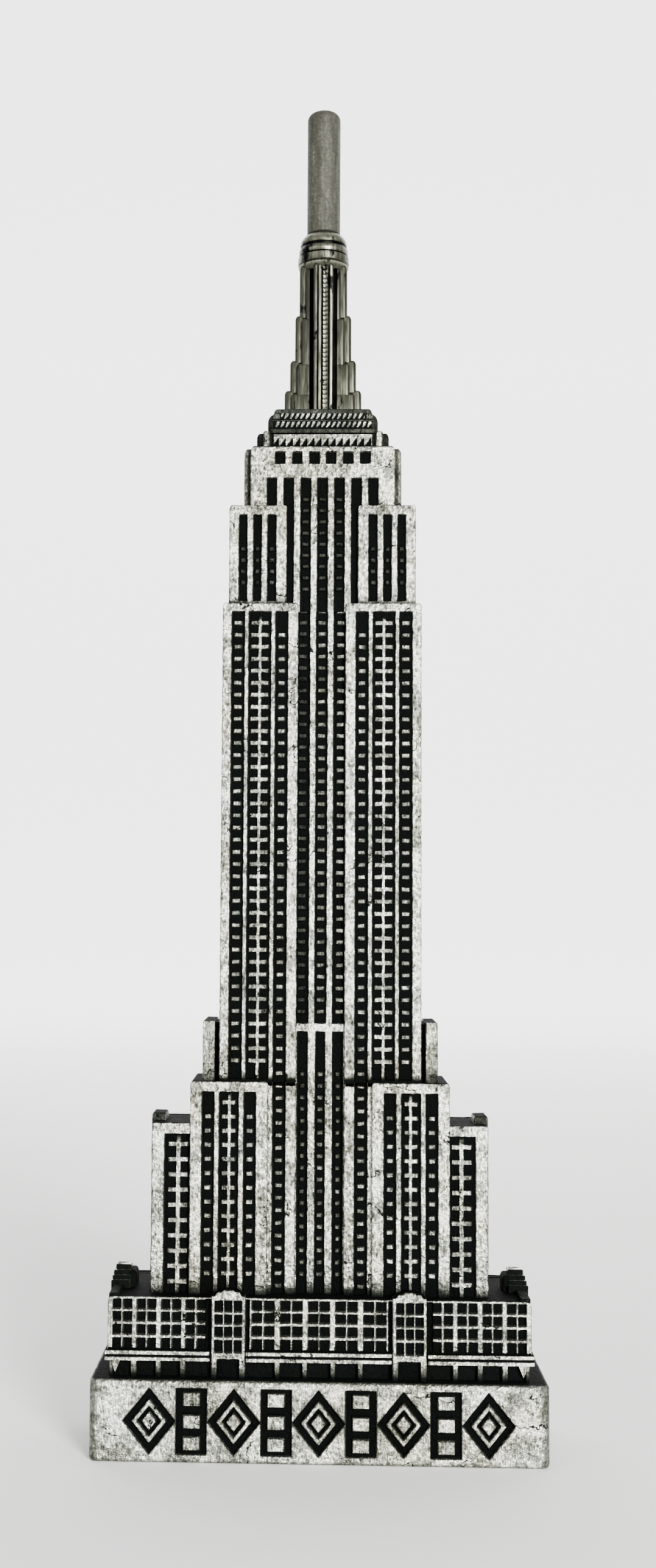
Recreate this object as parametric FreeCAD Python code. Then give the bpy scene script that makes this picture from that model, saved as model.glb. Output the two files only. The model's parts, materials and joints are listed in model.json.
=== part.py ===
import FreeCAD, Part
import math
import os

# Miniature skyscraper, a zinc die-cast souvenir in an antique silver finish.
# Millimetres. +X is to the right seen from the front, the front faces -Y, +Z is up.
# The origin is the centre of the underside. Front and back carry the same relief.

# ---------------------------------------------------------------- driving dimensions
TOTAL_HEIGHT = 154.5
PLINTH_HALF_X, PLINTH_HALF_Y, PLINTH_TOP = 25.0, 8.6, 8.8
PODIUM_HALF_X, PODIUM_HALF_Y, PODIUM_TOP = 23.2, 7.2, 17.4
TOWER_TOP = 113.2
CROWN_TOP = 118.0
MAST_TOP = 139.6

RELIEF = 0.5            # depth of the cast window channels
FIT_GAP = 0.03          # clearance between pieces that slide together

# plinth
PLINTH_CORNER = 1.0
PLINTH_WALL = 1.8
PLINTH_ROOF = 1.6
REBATE_DEPTH = 1.6      # step in the underside that takes the plate and the felt
REBATE_LIP = 0.9
FELT = 0.9

# ornament panel on the plinth: lozenges and stacks of bars, each in its own moat
ORNAMENT_HALF_Z = 3.5
ORNAMENT_MID_Z = 4.4
LOZENGE_HALF_X = 2.85
LOZENGE_PITCH = 9.2
LOZENGE_REACH = 2       # lozenges on each side of the middle one
BAR_HALF_X = 0.95
BAR_HEIGHT, BAR_PITCH, BARS = 1.5, 2.35, 3
MOAT = 0.7

# podium
PODIUM_WALL = 1.5
PODIUM_ROOF = 1.8
SHOP_TOP = 10.7         # top of the recessed shop front
SHOP_SET_BACK = 0.7
CORNICE_TOP = 11.7
CORNICE_PROUD = 0.5
POST_HALF_X = 0.28
POST_X = (1.5, 4.55, 14.95, 17.65, 20.3)
PAVILION_X, PAVILION_HALF_X = 9.9, 1.86
PAVILION_PROUD = 0.4
PAVILION_EAVES, PAVILION_CROWN = 17.65, 18.3
DOOR_HALF_X, DOOR_TOP = 1.18, 10.85
ROW_BOTTOM = (11.9, 13.3, 14.75, 16.05)
ROW_HEIGHT = 1.02
PAIR_X = (0.0, 3.05, 6.12, 13.58, 16.22, 18.93, 21.57)
PAIR_HALF_X, PAIR_MULLION = 1.08, 0.28
PAVILION_WINDOW_X = (-1.0, 0.0, 1.0)
PAVILION_WINDOW_HALF_X = 0.4
GABLE_HALF_Y, GABLE_TOP, GABLE_THICK = 2.2, 19.6, 2.1
GABLE_STEPS = 4

# tower tiers: inner x, outer x, half depth, top
OUTER_WING = (13.0, 18.75, 4.6, 36.0)
SIDE_BAY = (17.4, 19.05, 1.9, 36.8)
INNER_WING = (5.8, 14.5, 4.9, 40.7)
SIDE_STUB = (0.0, 13.2, 3.9, 47.4)
SHAFT_WING = (2.69, 11.35, 4.3, 95.0)
SHAFT_CORE = (0.0, 10.0, 3.8, 100.0)
SHOULDER = (4.08, 10.7, 4.1, 106.4)
TOP_BLOCK = (0.0, 8.3, 3.9, TOWER_TOP)
TOP_BLOCK_SIDE = (0.0, 9.1, 2.9, TOWER_TOP)
TOWER_TIERS = (OUTER_WING, SIDE_BAY, INNER_WING, SIDE_STUB, SHAFT_WING, SHAFT_CORE, SHOULDER, TOP_BLOCK,
               TOP_BLOCK_SIDE)

# window channels: inner x, outer x, bottom, top, half depth of the face they are cut in
CHANNELS = (
    (14.72, 15.55, PODIUM_TOP, 34.8, OUTER_WING[2]),
    (16.1, 17.36, PODIUM_TOP, 34.8, OUTER_WING[2]),
    (7.15, 8.5, PODIUM_TOP, 39.5, INNER_WING[2]),
    (9.1, 9.92, PODIUM_TOP, 39.5, INNER_WING[2]),
    (10.3, 11.25, PODIUM_TOP, 39.5, INNER_WING[2]),
    (11.82, 13.18, PODIUM_TOP, 39.5, INNER_WING[2]),
    (3.87, 5.3, PODIUM_TOP, 94.0, SHAFT_WING[2]),
    (5.81, 6.88, INNER_WING[3], 94.0, SHAFT_WING[2]),
    (7.25, 8.36, INNER_WING[3], 94.0, SHAFT_WING[2]),
    (8.84, 10.3, INNER_WING[3], 94.0, SHAFT_WING[2]),
    (1.36, 2.58, PODIUM_TOP, 46.3, SHAFT_CORE[2]),
    (1.36, 2.69, 47.2, SHAFT_WING[3], SHAFT_CORE[2]),
    (1.36, 2.55, SHAFT_WING[3], 109.6, TOP_BLOCK[2]),
    (3.3, 4.48, SHAFT_WING[3], 109.6, TOP_BLOCK[2]),
    (5.28, 6.4, SHOULDER[3], 109.6, TOP_BLOCK[2]),
    (5.3, 6.3, SHAFT_WING[3], 105.3, SHOULDER[2]),
    (7.0, 7.92, SHAFT_WING[3], 105.3, SHOULDER[2]),
    (8.62, 9.57, SHAFT_WING[3], 105.3, SHOULDER[2]),
    (0.4, 1.5, 111.3, 112.65, TOP_BLOCK[2]),
    (2.36, 3.48, 111.3, 112.65, TOP_BLOCK[2]),
    (4.32, 5.46, 111.3, 112.65, TOP_BLOCK[2]),
)
CENTRE_CHANNELS = (
    (0.54, PODIUM_TOP, 46.3, SHAFT_CORE[2]),
    (0.65, 47.2, SHAFT_WING[3], SHAFT_CORE[2]),
    (0.6, SHAFT_WING[3], 109.6, TOP_BLOCK[2]),
)

# tower hollow and joints
HOLLOW_HALF_Y = 2.5
SOLID_FOOT_TOP = 24.0
HOLLOWS = ((13.0, SOLID_FOOT_TOP, 38.6), (9.9, SOLID_FOOT_TOP, 93.4), (7.2, 93.4, 111.0))
TENON_HALF_X, TENON_HALF_Y, TENON_LENGTH = 5.4, 2.6, 1.5
PIN_R, PIN_HALF_LENGTH, PIN_BOSS_R = 0.6, 2.2, 1.6
PIN_Z = (32.0, 62.0, 92.0)

# crown
CROWN_TIERS = ((7.65, 3.5, 115.6), (6.4, 3.25, 117.5), (5.6, 3.1, CROWN_TOP))
TONGUE_HALF_X, TONGUE_HALF_Y, TONGUE_LENGTH = 4.0, 2.4, 4.0
DENTIL_PITCH, DENTIL_DEPTH = 0.92, 0.35
DENTIL_ROWS = ((5.7, 3.5, 113.6, 114.8), (5.6, 3.25, 115.96, 116.6), (6.1, 3.25, 116.9, 117.5))

# mast
MAST_STEPS = ((4.5, 120.6), (3.87, 124.2), (3.3, 129.6), (2.8, 135.5))
FIN_HALF_Y = 1.5
CORE_R = 2.3
PILASTER_HALF_X, PILASTER_HALF_Y = 1.18, 2.75
MAST_COLLAR = ((2.75, 135.5), (3.0, 135.8), (3.0, 136.9), (2.75, 136.9), (2.75, 137.0), (2.9, 137.0), (2.9, 137.8),
               (2.6, 137.8), (2.6, 138.2), (2.75, 138.2), (2.75, 138.6), (2.3, 139.3), (1.95, MAST_TOP))
SPIGOT_R, SPIGOT_LENGTH = 1.5, 7.0
ROD_R, ROD_TIP = 1.95, 0.9
TAIL_R, TAIL_LENGTH = 1.2, 8.0

# screws
SHANK_R, HEAD_R, HEAD_H = 0.95, 1.8, 1.2
PLINTH_SCREW_X = 16.0
PLINTH_SCREW_HEAD_Z = 3.2
PLINTH_SCREW_TIP_Z = 14.0
POST_R = 2.6
TOWER_SCREW_X, TOWER_SCREW_Y = 10.0, 2.4
TOWER_SCREW_TIP_Z = 22.0

UP = FreeCAD.Vector(0, 0, 1)
ORIGIN = FreeCAD.Vector(0, 0, 0)


# ---------------------------------------------------------------- helpers
def block(x0, x1, y0, y1, z0, z1):
    return Part.makeBox(x1 - x0, y1 - y0, z1 - z0, FreeCAD.Vector(x0, y0, z0))


def centred(half_x, half_y, z0, z1):
    return block(-half_x, half_x, -half_y, half_y, z0, z1)


def post(x, y, z0, z1, radius):
    return Part.makeCylinder(radius, z1 - z0, FreeCAD.Vector(x, y, z0), UP)


def in_x(shape):
    """The shape and its mirror image across the plane x = 0."""
    return [shape, shape.mirror(ORIGIN, FreeCAD.Vector(1, 0, 0))]


def in_y(shape):
    """The shape and its mirror image across the plane y = 0."""
    return [shape, shape.mirror(ORIGIN, FreeCAD.Vector(0, 1, 0))]


def four(shape):
    return [copy for half in in_x(shape) for copy in in_y(half)]


def fuse(shapes):
    return shapes[0].multiFuse(shapes[1:]).removeSplitter()


def turned(profile):
    """A solid of revolution about Z, from (radius, height) pairs."""
    points = [FreeCAD.Vector(r, 0, z) for r, z in profile]
    face = Part.Face(Part.makePolygon(points + [points[0]]))
    return face.revolve(ORIGIN, UP, 360)


def front_prism(outline, y0, y1):
    """A prism through y0 to y1 from an outline of (x, z) pairs."""
    points = [FreeCAD.Vector(x, y0, z) for x, z in outline]
    face = Part.Face(Part.makePolygon(points + [points[0]]))
    return face.extrude(FreeCAD.Vector(0, y1 - y0, 0))


def round_uprights(shape, radius):
    """Fillets the edges that run straight up the full height of the shape."""
    box = shape.BoundBox
    uprights = [e for e in shape.Edges if abs(e.BoundBox.ZLength - box.ZLength) < 1e-6]
    return shape.makeFillet(radius, uprights)


# ---------------------------------------------------------------- plinth
def lozenge(x, half_x, half_z, y0, y1):
    z = ORNAMENT_MID_Z
    outline = [(x - half_x, z), (x, z - half_z), (x + half_x, z), (x, z + half_z)]
    return front_prism(outline, y0, y1)


def ornament_cut():
    """The moats of the front ornament: each raised figure stays in the middle of its moat."""
    y0, y1 = -PLINTH_HALF_Y - 1, -PLINTH_HALF_Y + RELIEF
    moats = []
    for step in range(-LOZENGE_REACH, LOZENGE_REACH + 1):
        x = step * LOZENGE_PITCH
        outer = lozenge(x, LOZENGE_HALF_X, ORNAMENT_HALF_Z, y0, y1)
        across = LOZENGE_HALF_X * ORNAMENT_HALF_Z / math.hypot(LOZENGE_HALF_X, ORNAMENT_HALF_Z)
        scale = 1 - MOAT / across
        moats.append(outer.cut(lozenge(x, LOZENGE_HALF_X * scale, ORNAMENT_HALF_Z * scale, y0, y1)))
    for step in range(-LOZENGE_REACH, LOZENGE_REACH):
        x = (step + 0.5) * LOZENGE_PITCH
        low = ORNAMENT_MID_Z - ORNAMENT_HALF_Z
        moat = block(x - BAR_HALF_X - MOAT, x + BAR_HALF_X + MOAT, y0, y1, low, low + 2 * ORNAMENT_HALF_Z)
        for row in range(BARS):
            middle = ORNAMENT_MID_Z + (row - (BARS - 1) / 2) * BAR_PITCH
            z0, z1 = middle - BAR_HEIGHT / 2, middle + BAR_HEIGHT / 2
            moat = moat.cut(block(x - BAR_HALF_X, x + BAR_HALF_X, y0, y1, z0, z1))
        moats.append(moat)
    return moats


def make_plinth():
    body = round_uprights(centred(PLINTH_HALF_X, PLINTH_HALF_Y, 0, PLINTH_TOP), PLINTH_CORNER)
    inside_x, inside_y = PLINTH_HALF_X - PLINTH_WALL, PLINTH_HALF_Y - PLINTH_WALL
    roof = PLINTH_TOP - PLINTH_ROOF
    hollow = centred(inside_x, inside_y, 0, roof)
    rebate = centred(PLINTH_HALF_X - REBATE_LIP, PLINTH_HALF_Y - REBATE_LIP, 0, REBATE_DEPTH)
    moats = [copy for moat in ornament_cut() for copy in in_y(moat)]
    shell = body.cut([hollow, rebate] + moats)
    head_top = PLINTH_SCREW_HEAD_Z + HEAD_H
    posts = in_x(post(PLINTH_SCREW_X, 0, PLINTH_SCREW_HEAD_Z - 0.6, roof, POST_R))
    holes = in_x(post(PLINTH_SCREW_X, 0, 0, PLINTH_TOP, SHANK_R + 0.1))
    counterbores = in_x(post(PLINTH_SCREW_X, 0, 0, head_top, HEAD_R + 0.15))
    return fuse([shell] + posts).cut(holes + counterbores)


def make_base_plate():
    half_x = PLINTH_HALF_X - REBATE_LIP - FIT_GAP
    half_y = PLINTH_HALF_Y - REBATE_LIP - FIT_GAP
    return centred(half_x, half_y, FELT, REBATE_DEPTH)


def make_base_pad():
    half_x = PLINTH_HALF_X - REBATE_LIP - 3 * FIT_GAP
    half_y = PLINTH_HALF_Y - REBATE_LIP - 3 * FIT_GAP
    return centred(half_x, half_y, 0, FELT)


# ---------------------------------------------------------------- podium
def pavilion():
    """Front pavilion with a shallow gable, standing a little proud of the wall."""
    x0, x1 = PAVILION_X - PAVILION_HALF_X, PAVILION_X + PAVILION_HALF_X
    outline = [(x0, PLINTH_TOP), (x1, PLINTH_TOP), (x1, PAVILION_EAVES), (PAVILION_X + 0.9, PAVILION_CROWN),
               (PAVILION_X - 0.9, PAVILION_CROWN), (x0, PAVILION_EAVES)]
    return front_prism(outline, -PODIUM_HALF_Y - PAVILION_PROUD, -PODIUM_HALF_Y + 1.2)


def side_gable():
    """Stepped gable in the middle of the podium's side wall."""
    x0, x1 = PODIUM_HALF_X + PAVILION_PROUD - GABLE_THICK, PODIUM_HALF_X + PAVILION_PROUD
    steps = []
    for n in range(GABLE_STEPS):
        half_y = GABLE_HALF_Y * (1 - 0.5 * n / (GABLE_STEPS - 1))
        top = PODIUM_TOP + (GABLE_TOP - PODIUM_TOP) * (n + 1) / GABLE_STEPS
        steps.append(block(x0, x1, -half_y, half_y, PLINTH_TOP, top))
    return fuse(steps)


def podium_windows():
    """Four rows of paired windows along the front wall, and three a row in each pavilion."""
    cuts = []
    face = -PODIUM_HALF_Y
    for z in ROW_BOTTOM:
        for x in PAIR_X:
            inner, outer = PAIR_MULLION / 2, PAIR_HALF_X
            cuts += in_x(block(x + inner, x + outer, face - 1, face + RELIEF, z, z + ROW_HEIGHT))
            if x:
                cuts += in_x(block(x - outer, x - inner, face - 1, face + RELIEF, z, z + ROW_HEIGHT))
        for shift in PAVILION_WINDOW_X:
            x = PAVILION_X + shift
            half = PAVILION_WINDOW_HALF_X
            cuts += in_x(block(x - half, x + half, face - 2, face + 0.1, z, z + ROW_HEIGHT))
    return cuts


def make_podium():
    shop = centred(PODIUM_HALF_X - SHOP_SET_BACK, PODIUM_HALF_Y - SHOP_SET_BACK, PLINTH_TOP, SHOP_TOP)
    cornice = centred(PODIUM_HALF_X + CORNICE_PROUD / 2, PODIUM_HALF_Y + CORNICE_PROUD, SHOP_TOP, CORNICE_TOP)
    wall = centred(PODIUM_HALF_X, PODIUM_HALF_Y, CORNICE_TOP, PODIUM_TOP)
    posts = []
    for x in POST_X:
        stub = block(x - POST_HALF_X, x + POST_HALF_X, -PODIUM_HALF_Y, -PODIUM_HALF_Y + 1, PLINTH_TOP, SHOP_TOP)
        posts += four(stub)
    body = fuse([shop, cornice, wall] + posts + four(pavilion()) + in_x(side_gable()))
    door = block(PAVILION_X - DOOR_HALF_X, PAVILION_X + DOOR_HALF_X, -PODIUM_HALF_Y - 2,
                 -PODIUM_HALF_Y + SHOP_SET_BACK, PLINTH_TOP, DOOR_TOP)
    windows = [copy for cut in podium_windows() for copy in in_y(cut)]
    roof = PODIUM_TOP - PODIUM_ROOF
    hollow = centred(PODIUM_HALF_X - SHOP_SET_BACK - PODIUM_WALL,
                     PODIUM_HALF_Y - SHOP_SET_BACK - PODIUM_WALL, PLINTH_TOP, roof)
    shell = body.cut(windows + four(door) + [hollow])
    bosses = in_x(post(PLINTH_SCREW_X, 0, PLINTH_TOP, roof, POST_R - 0.2))
    pilots = in_x(post(PLINTH_SCREW_X, 0, PLINTH_TOP, PLINTH_SCREW_TIP_Z + 0.2, SHANK_R + FIT_GAP))
    holes = four(post(TOWER_SCREW_X, TOWER_SCREW_Y, roof, PODIUM_TOP, SHANK_R + 0.1))
    mortise = centred(TENON_HALF_X + FIT_GAP, TENON_HALF_Y + FIT_GAP, roof, PODIUM_TOP)
    return fuse([shell] + bosses).cut(pilots + holes + [mortise])


# ---------------------------------------------------------------- tower halves
def tier_block(inner_x, outer_x, half_y, top):
    """One tier of the front half, on both sides of the middle."""
    if inner_x == 0:
        return [block(-outer_x, outer_x, -half_y, 0, PODIUM_TOP, top)]
    return in_x(block(inner_x, outer_x, -half_y, 0, PODIUM_TOP, top))


def window_channels():
    cuts = []
    for inner_x, outer_x, bottom, top, half_y in CHANNELS:
        cuts += in_x(block(inner_x, outer_x, -half_y - 1, -half_y + RELIEF, bottom, top))
    for half_x, bottom, top, half_y in CENTRE_CHANNELS:
        cuts.append(block(-half_x, half_x, -half_y - 1, -half_y + RELIEF, bottom, top))
    return cuts


def make_tower_front():
    tiers = [b for tier in TOWER_TIERS for b in tier_block(*tier)]
    tenon = block(-TENON_HALF_X, TENON_HALF_X, -TENON_HALF_Y, 0, PODIUM_TOP - TENON_LENGTH, PODIUM_TOP)
    body = fuse(tiers + [tenon])
    hollows = [block(-half_x, half_x, -HOLLOW_HALF_Y, 0, z0, z1) for half_x, z0, z1 in HOLLOWS]
    tongue_seat = block(-TONGUE_HALF_X - FIT_GAP, TONGUE_HALF_X + FIT_GAP, -HOLLOW_HALF_Y, 0,
                        HOLLOWS[-1][1], TOWER_TOP)
    shell = body.cut(window_channels() + hollows + [tongue_seat])
    across = FreeCAD.Vector(0, -1, 0)
    bosses = [Part.makeCylinder(PIN_BOSS_R, HOLLOW_HALF_Y, FreeCAD.Vector(0, 0, z), across) for z in PIN_Z]
    sockets = [Part.makeCylinder(PIN_R + FIT_GAP, PIN_HALF_LENGTH + 0.1, FreeCAD.Vector(0, 0, z), across)
               for z in PIN_Z]
    pilots = in_x(post(TOWER_SCREW_X, -TOWER_SCREW_Y, PODIUM_TOP, TOWER_SCREW_TIP_Z + 0.2, SHANK_R + FIT_GAP))
    return fuse([shell] + bosses).cut(sockets + pilots)


def make_tower_rear():
    return in_y(make_tower_front())[1]


def make_locating_pins():
    length = 2 * PIN_HALF_LENGTH
    start = [FreeCAD.Vector(0, -PIN_HALF_LENGTH, z) for z in PIN_Z]
    return Part.makeCompound([Part.makeCylinder(PIN_R, length, s, FreeCAD.Vector(0, 1, 0)) for s in start])


# ---------------------------------------------------------------- crown, mast and rod
def dentil_cuts():
    """Square notches along the crown's front mouldings."""
    cuts = []
    for half_x, half_y, z0, z1 in DENTIL_ROWS:
        count = int(2 * half_x / DENTIL_PITCH)
        for n in range(count):
            x = (n - (count - 1) / 2) * DENTIL_PITCH
            quarter = DENTIL_PITCH / 4
            cuts.append(block(x - quarter, x + quarter, -half_y - 1, -half_y + DENTIL_DEPTH, z0, z1))
    return cuts


def make_crown_cap():
    tiers = [centred(half_x, half_y, TOWER_TOP, top) for half_x, half_y, top in CROWN_TIERS]
    tongue = centred(TONGUE_HALF_X, TONGUE_HALF_Y, TOWER_TOP - TONGUE_LENGTH, TOWER_TOP)
    notches = [copy for cut in dentil_cuts() for copy in in_y(cut)]
    socket = post(0, 0, CROWN_TOP - SPIGOT_LENGTH - 0.2, CROWN_TOP, SPIGOT_R + FIT_GAP)
    return fuse(tiers + [tongue]).cut(notches + [socket])


def make_mast():
    fins = [centred(half_x, FIN_HALF_Y, CROWN_TOP, top) for half_x, top in MAST_STEPS]
    shaft_top = MAST_STEPS[-1][1]
    core = post(0, 0, CROWN_TOP, shaft_top, CORE_R)
    pilasters = centred(PILASTER_HALF_X, PILASTER_HALF_Y, CROWN_TOP, shaft_top)
    collar = turned([(0, shaft_top)] + list(MAST_COLLAR) + [(0, MAST_TOP)])
    spigot = post(0, 0, CROWN_TOP - SPIGOT_LENGTH, CROWN_TOP, SPIGOT_R)
    socket = post(0, 0, MAST_TOP - TAIL_LENGTH - 0.2, MAST_TOP, TAIL_R + FIT_GAP)
    return fuse(fins + [core, pilasters, collar, spigot]).cut(socket)


def make_antenna_rod():
    rod = post(0, 0, MAST_TOP, TOTAL_HEIGHT, ROD_R)
    rim = [e for e in rod.Edges if e.BoundBox.ZMin > TOTAL_HEIGHT - 1e-6]
    tail = post(0, 0, MAST_TOP - TAIL_LENGTH, MAST_TOP, TAIL_R)
    return fuse([rod.makeFillet(ROD_TIP, rim), tail])


# ---------------------------------------------------------------- screws
def screw(x, y, head_z, tip_z):
    """Pan head screw that points up, with a cross slot in its head."""
    shank_z = head_z + HEAD_H
    body = post(x, y, head_z, shank_z, HEAD_R).fuse(post(x, y, shank_z, tip_z, SHANK_R))
    slots = [block(x - 1, x + 1, y - 0.2, y + 0.2, head_z, head_z + 0.6),
             block(x - 0.2, x + 0.2, y - 1, y + 1, head_z, head_z + 0.6)]
    return body.cut(slots)


def make_plinth_screws():
    return Part.makeCompound(in_x(screw(PLINTH_SCREW_X, 0, PLINTH_SCREW_HEAD_Z, PLINTH_SCREW_TIP_Z)))


def make_tower_screws():
    head_z = PODIUM_TOP - PODIUM_ROOF - HEAD_H
    return Part.makeCompound(four(screw(TOWER_SCREW_X, TOWER_SCREW_Y, head_z, TOWER_SCREW_TIP_Z)))


# ---------------------------------------------------------------- export
NODES = {
    "plinth": make_plinth,
    "base_plate": make_base_plate,
    "base_pad": make_base_pad,
    "podium": make_podium,
    "tower_front": make_tower_front,
    "tower_rear": make_tower_rear,
    "locating_pins": make_locating_pins,
    "crown_cap": make_crown_cap,
    "mast": make_mast,
    "antenna_rod": make_antenna_rod,
    "plinth_screws": make_plinth_screws,
    "tower_screws": make_tower_screws,
}

os.makedirs("parts", exist_ok=True)
for name, make in NODES.items():
    shape = make()
    shape.exportStep("parts/" + name + ".step")
    print(name, "solids", len(shape.Solids), "volume", round(shape.Volume, 1), "valid", shape.isValid())
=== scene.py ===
# %% [markdown]
# # A die-cast skyscraper souvenir
# The model is taken to be a handful of zinc castings with a relief on every wall. The castings are plated
# in antique silver: a dark patina fills every recess, and a brush rubs only the raised faces bright. This
# lesson rebuilds those castings as walls that run round a block, with the windows pressed into them as a
# height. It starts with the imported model, which fixes where every casting stands.

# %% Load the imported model
import json
import math
from collections import namedtuple
import bpy
import numpy as np
from mathutils import Matrix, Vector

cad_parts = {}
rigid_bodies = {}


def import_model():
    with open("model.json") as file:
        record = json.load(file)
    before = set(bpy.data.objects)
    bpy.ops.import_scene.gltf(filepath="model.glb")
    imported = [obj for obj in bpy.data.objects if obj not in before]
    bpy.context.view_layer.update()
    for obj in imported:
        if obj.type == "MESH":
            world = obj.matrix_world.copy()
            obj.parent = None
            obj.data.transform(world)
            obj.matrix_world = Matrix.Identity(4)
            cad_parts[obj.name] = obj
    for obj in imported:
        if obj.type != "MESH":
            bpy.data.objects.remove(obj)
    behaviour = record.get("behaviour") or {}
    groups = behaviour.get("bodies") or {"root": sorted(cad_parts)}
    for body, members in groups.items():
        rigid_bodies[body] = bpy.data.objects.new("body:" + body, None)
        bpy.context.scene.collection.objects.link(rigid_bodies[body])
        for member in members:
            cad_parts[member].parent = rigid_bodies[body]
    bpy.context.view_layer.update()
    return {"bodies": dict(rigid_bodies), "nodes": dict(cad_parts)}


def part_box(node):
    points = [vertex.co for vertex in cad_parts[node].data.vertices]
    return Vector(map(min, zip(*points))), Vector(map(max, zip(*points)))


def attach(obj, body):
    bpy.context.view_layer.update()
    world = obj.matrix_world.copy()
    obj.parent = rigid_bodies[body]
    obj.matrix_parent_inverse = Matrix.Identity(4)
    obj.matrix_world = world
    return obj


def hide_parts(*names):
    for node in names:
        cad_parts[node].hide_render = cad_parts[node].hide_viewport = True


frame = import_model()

BODY = next(iter(frame["bodies"]))
MM = 0.001

# %% [markdown]
# Small cast objects are drawn in millimetres, so the script works in them too and scales once, when a mesh
# is made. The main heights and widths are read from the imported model's own boxes.

# %% Main sizes, from the frame
def box_mm(node):
    low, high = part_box(node)
    return np.array(low) / MM, np.array(high) / MM


PLINTH_X, PLINTH_Y, PLINTH_TOP = box_mm("plinth")[1]
PAD_X, PAD_Y, PAD_TOP = box_mm("base_pad")[1]
CORNICE_X = box_mm("podium")[1][0] - 0.15
PODIUM_FOOT = box_mm("podium")[0][2]
PODIUM_TOP = PODIUM_FOOT + 8.6
TOWER_TOP = box_mm("tower_front")[1][2]
CROWN_X, CROWN_Y, CROWN_TOP = box_mm("crown_cap")[1]
MAST_TOP = box_mm("mast")[1][2]
ROD_R, _, ROD_TOP = box_mm("antenna_rod")[1]
print("plinth", PLINTH_X, PLINTH_Y, PLINTH_TOP, "podium", PODIUM_TOP)
print("tower", TOWER_TOP, "rod", ROD_R, ROD_TOP)

# %% [markdown]
# The camera comes first, because it says how close every detail will be seen. It stands about 20 cm away,
# lower than the model's middle, and looks up by four degrees through a normal lens.

# %% Camera
def put(name, data):
    """Adds an object to the scene."""
    thing = bpy.data.objects.new(name, data)
    bpy.context.collection.objects.link(thing)
    return thing


def turned(axes, place):
    """The matrix that stands an object at a place in metres, with the columns of axes as its own axes."""
    return Matrix([[*axes[row], place[row]] for row in range(3)] + [[0, 0, 0, 1]])


CAMERA_PLACE = (-0.77, -204.0, 59.85)
CAMERA_YAW, CAMERA_PITCH, CAMERA_ROLL = math.radians(-1.91), math.radians(4.10), math.radians(0.42)
LENS_MM, SENSOR_MM, FRAMING_SHIFT = 40.46, 36.0, 0.046

forward = np.array([math.sin(CAMERA_YAW) * math.cos(CAMERA_PITCH),
                    math.cos(CAMERA_YAW) * math.cos(CAMERA_PITCH), math.sin(CAMERA_PITCH)])
level = np.cross(forward, [0, 0, 1])
level /= np.linalg.norm(level)
upright = np.cross(level, forward)
right = level * math.cos(CAMERA_ROLL) + upright * math.sin(CAMERA_ROLL)
above = upright * math.cos(CAMERA_ROLL) - level * math.sin(CAMERA_ROLL)

camera_data = bpy.data.cameras.new("camera")
camera_data.sensor_width, camera_data.lens = SENSOR_MM, LENS_MM
camera_data.shift_x = FRAMING_SHIFT
camera_data.clip_start, camera_data.clip_end = 0.01, 20.0
camera = put("camera", camera_data)
camera.matrix_world = turned(np.column_stack([right, above, -forward]), np.array(CAMERA_PLACE) * MM)
bpy.context.scene.camera = camera
print("camera at", CAMERA_PLACE, "mm, lens", LENS_MM)

# %% [markdown]
# ## How a cast wall is made
# A wall is a grid. One parameter runs round the block, seen from above, and the other runs up it. The
# relief is a height for every point of the grid, pushed in along the wall's normal. Each edge of the relief
# gets two grid lines, where its slope starts and where it ends, so the windows are sharp but soft-edged
# without a dense mesh.

# %% Soft steps
RELIEF_DEEP = 0.5
EDGE_SOFT, BAR_SOFT, END_SOFT, RIB_SOFT = 0.14, 0.13, 0.2, 0.12
HOLE_SOFT, GROOVE_SOFT = 0.18, 0.1
Relief = namedtuple("Relief", "along up at")


def smooth(t):
    """The curve 3t^2 - 2t^3, held at 0 and 1 outside the unit range."""
    t = np.clip(t, 0.0, 1.0)
    return t * t * (3.0 - 2.0 * t)


def inside(values, low, high, soft=EDGE_SOFT):
    """1 between low and high and 0 outside, with an edge that is soft wide at both ends."""
    return smooth((values - low) / soft + 0.5) * smooth((high - values) / soft + 0.5)


def edge_lines(*edges, soft=EDGE_SOFT):
    """Two grid lines for each edge: where its slope starts and where it ends."""
    return [edge + soft * part for edge in edges for part in (-0.5, 0.5)]


def distinct(lines, low, high, gap=0.012):
    """Sorted lines from low to high, with near doubles left out."""
    kept = [low]
    for line in sorted(lines):
        if line > kept[-1] + gap and line < high - gap:
            kept.append(line)
    return np.array(kept + [high])


# %% [markdown]
# A relief says which grid lines it needs along and up the wall, and gives the height (0 at the face,
# negative inside) and the shine at every point. The commonest is a window column: a channel with small
# cross bars, the storeys, left standing in it, and sometimes a thin mullion up the middle. The bars stand a
# little lower than the face, so the brush only kisses them, and each one catches a different amount of it.

# %% Window columns
chance = np.random.default_rng(11)


def storeys(first, pitch, count, half=0.23, gap=0.2, shine=0.95):
    """Cross bars: the first one's height, how far each is below the last, how many, half a bar's height, the
    gap left at its ends, and its shine."""
    return dict(first=first, pitch=pitch, count=count, half=half, gap=gap, shine=shine)


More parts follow.
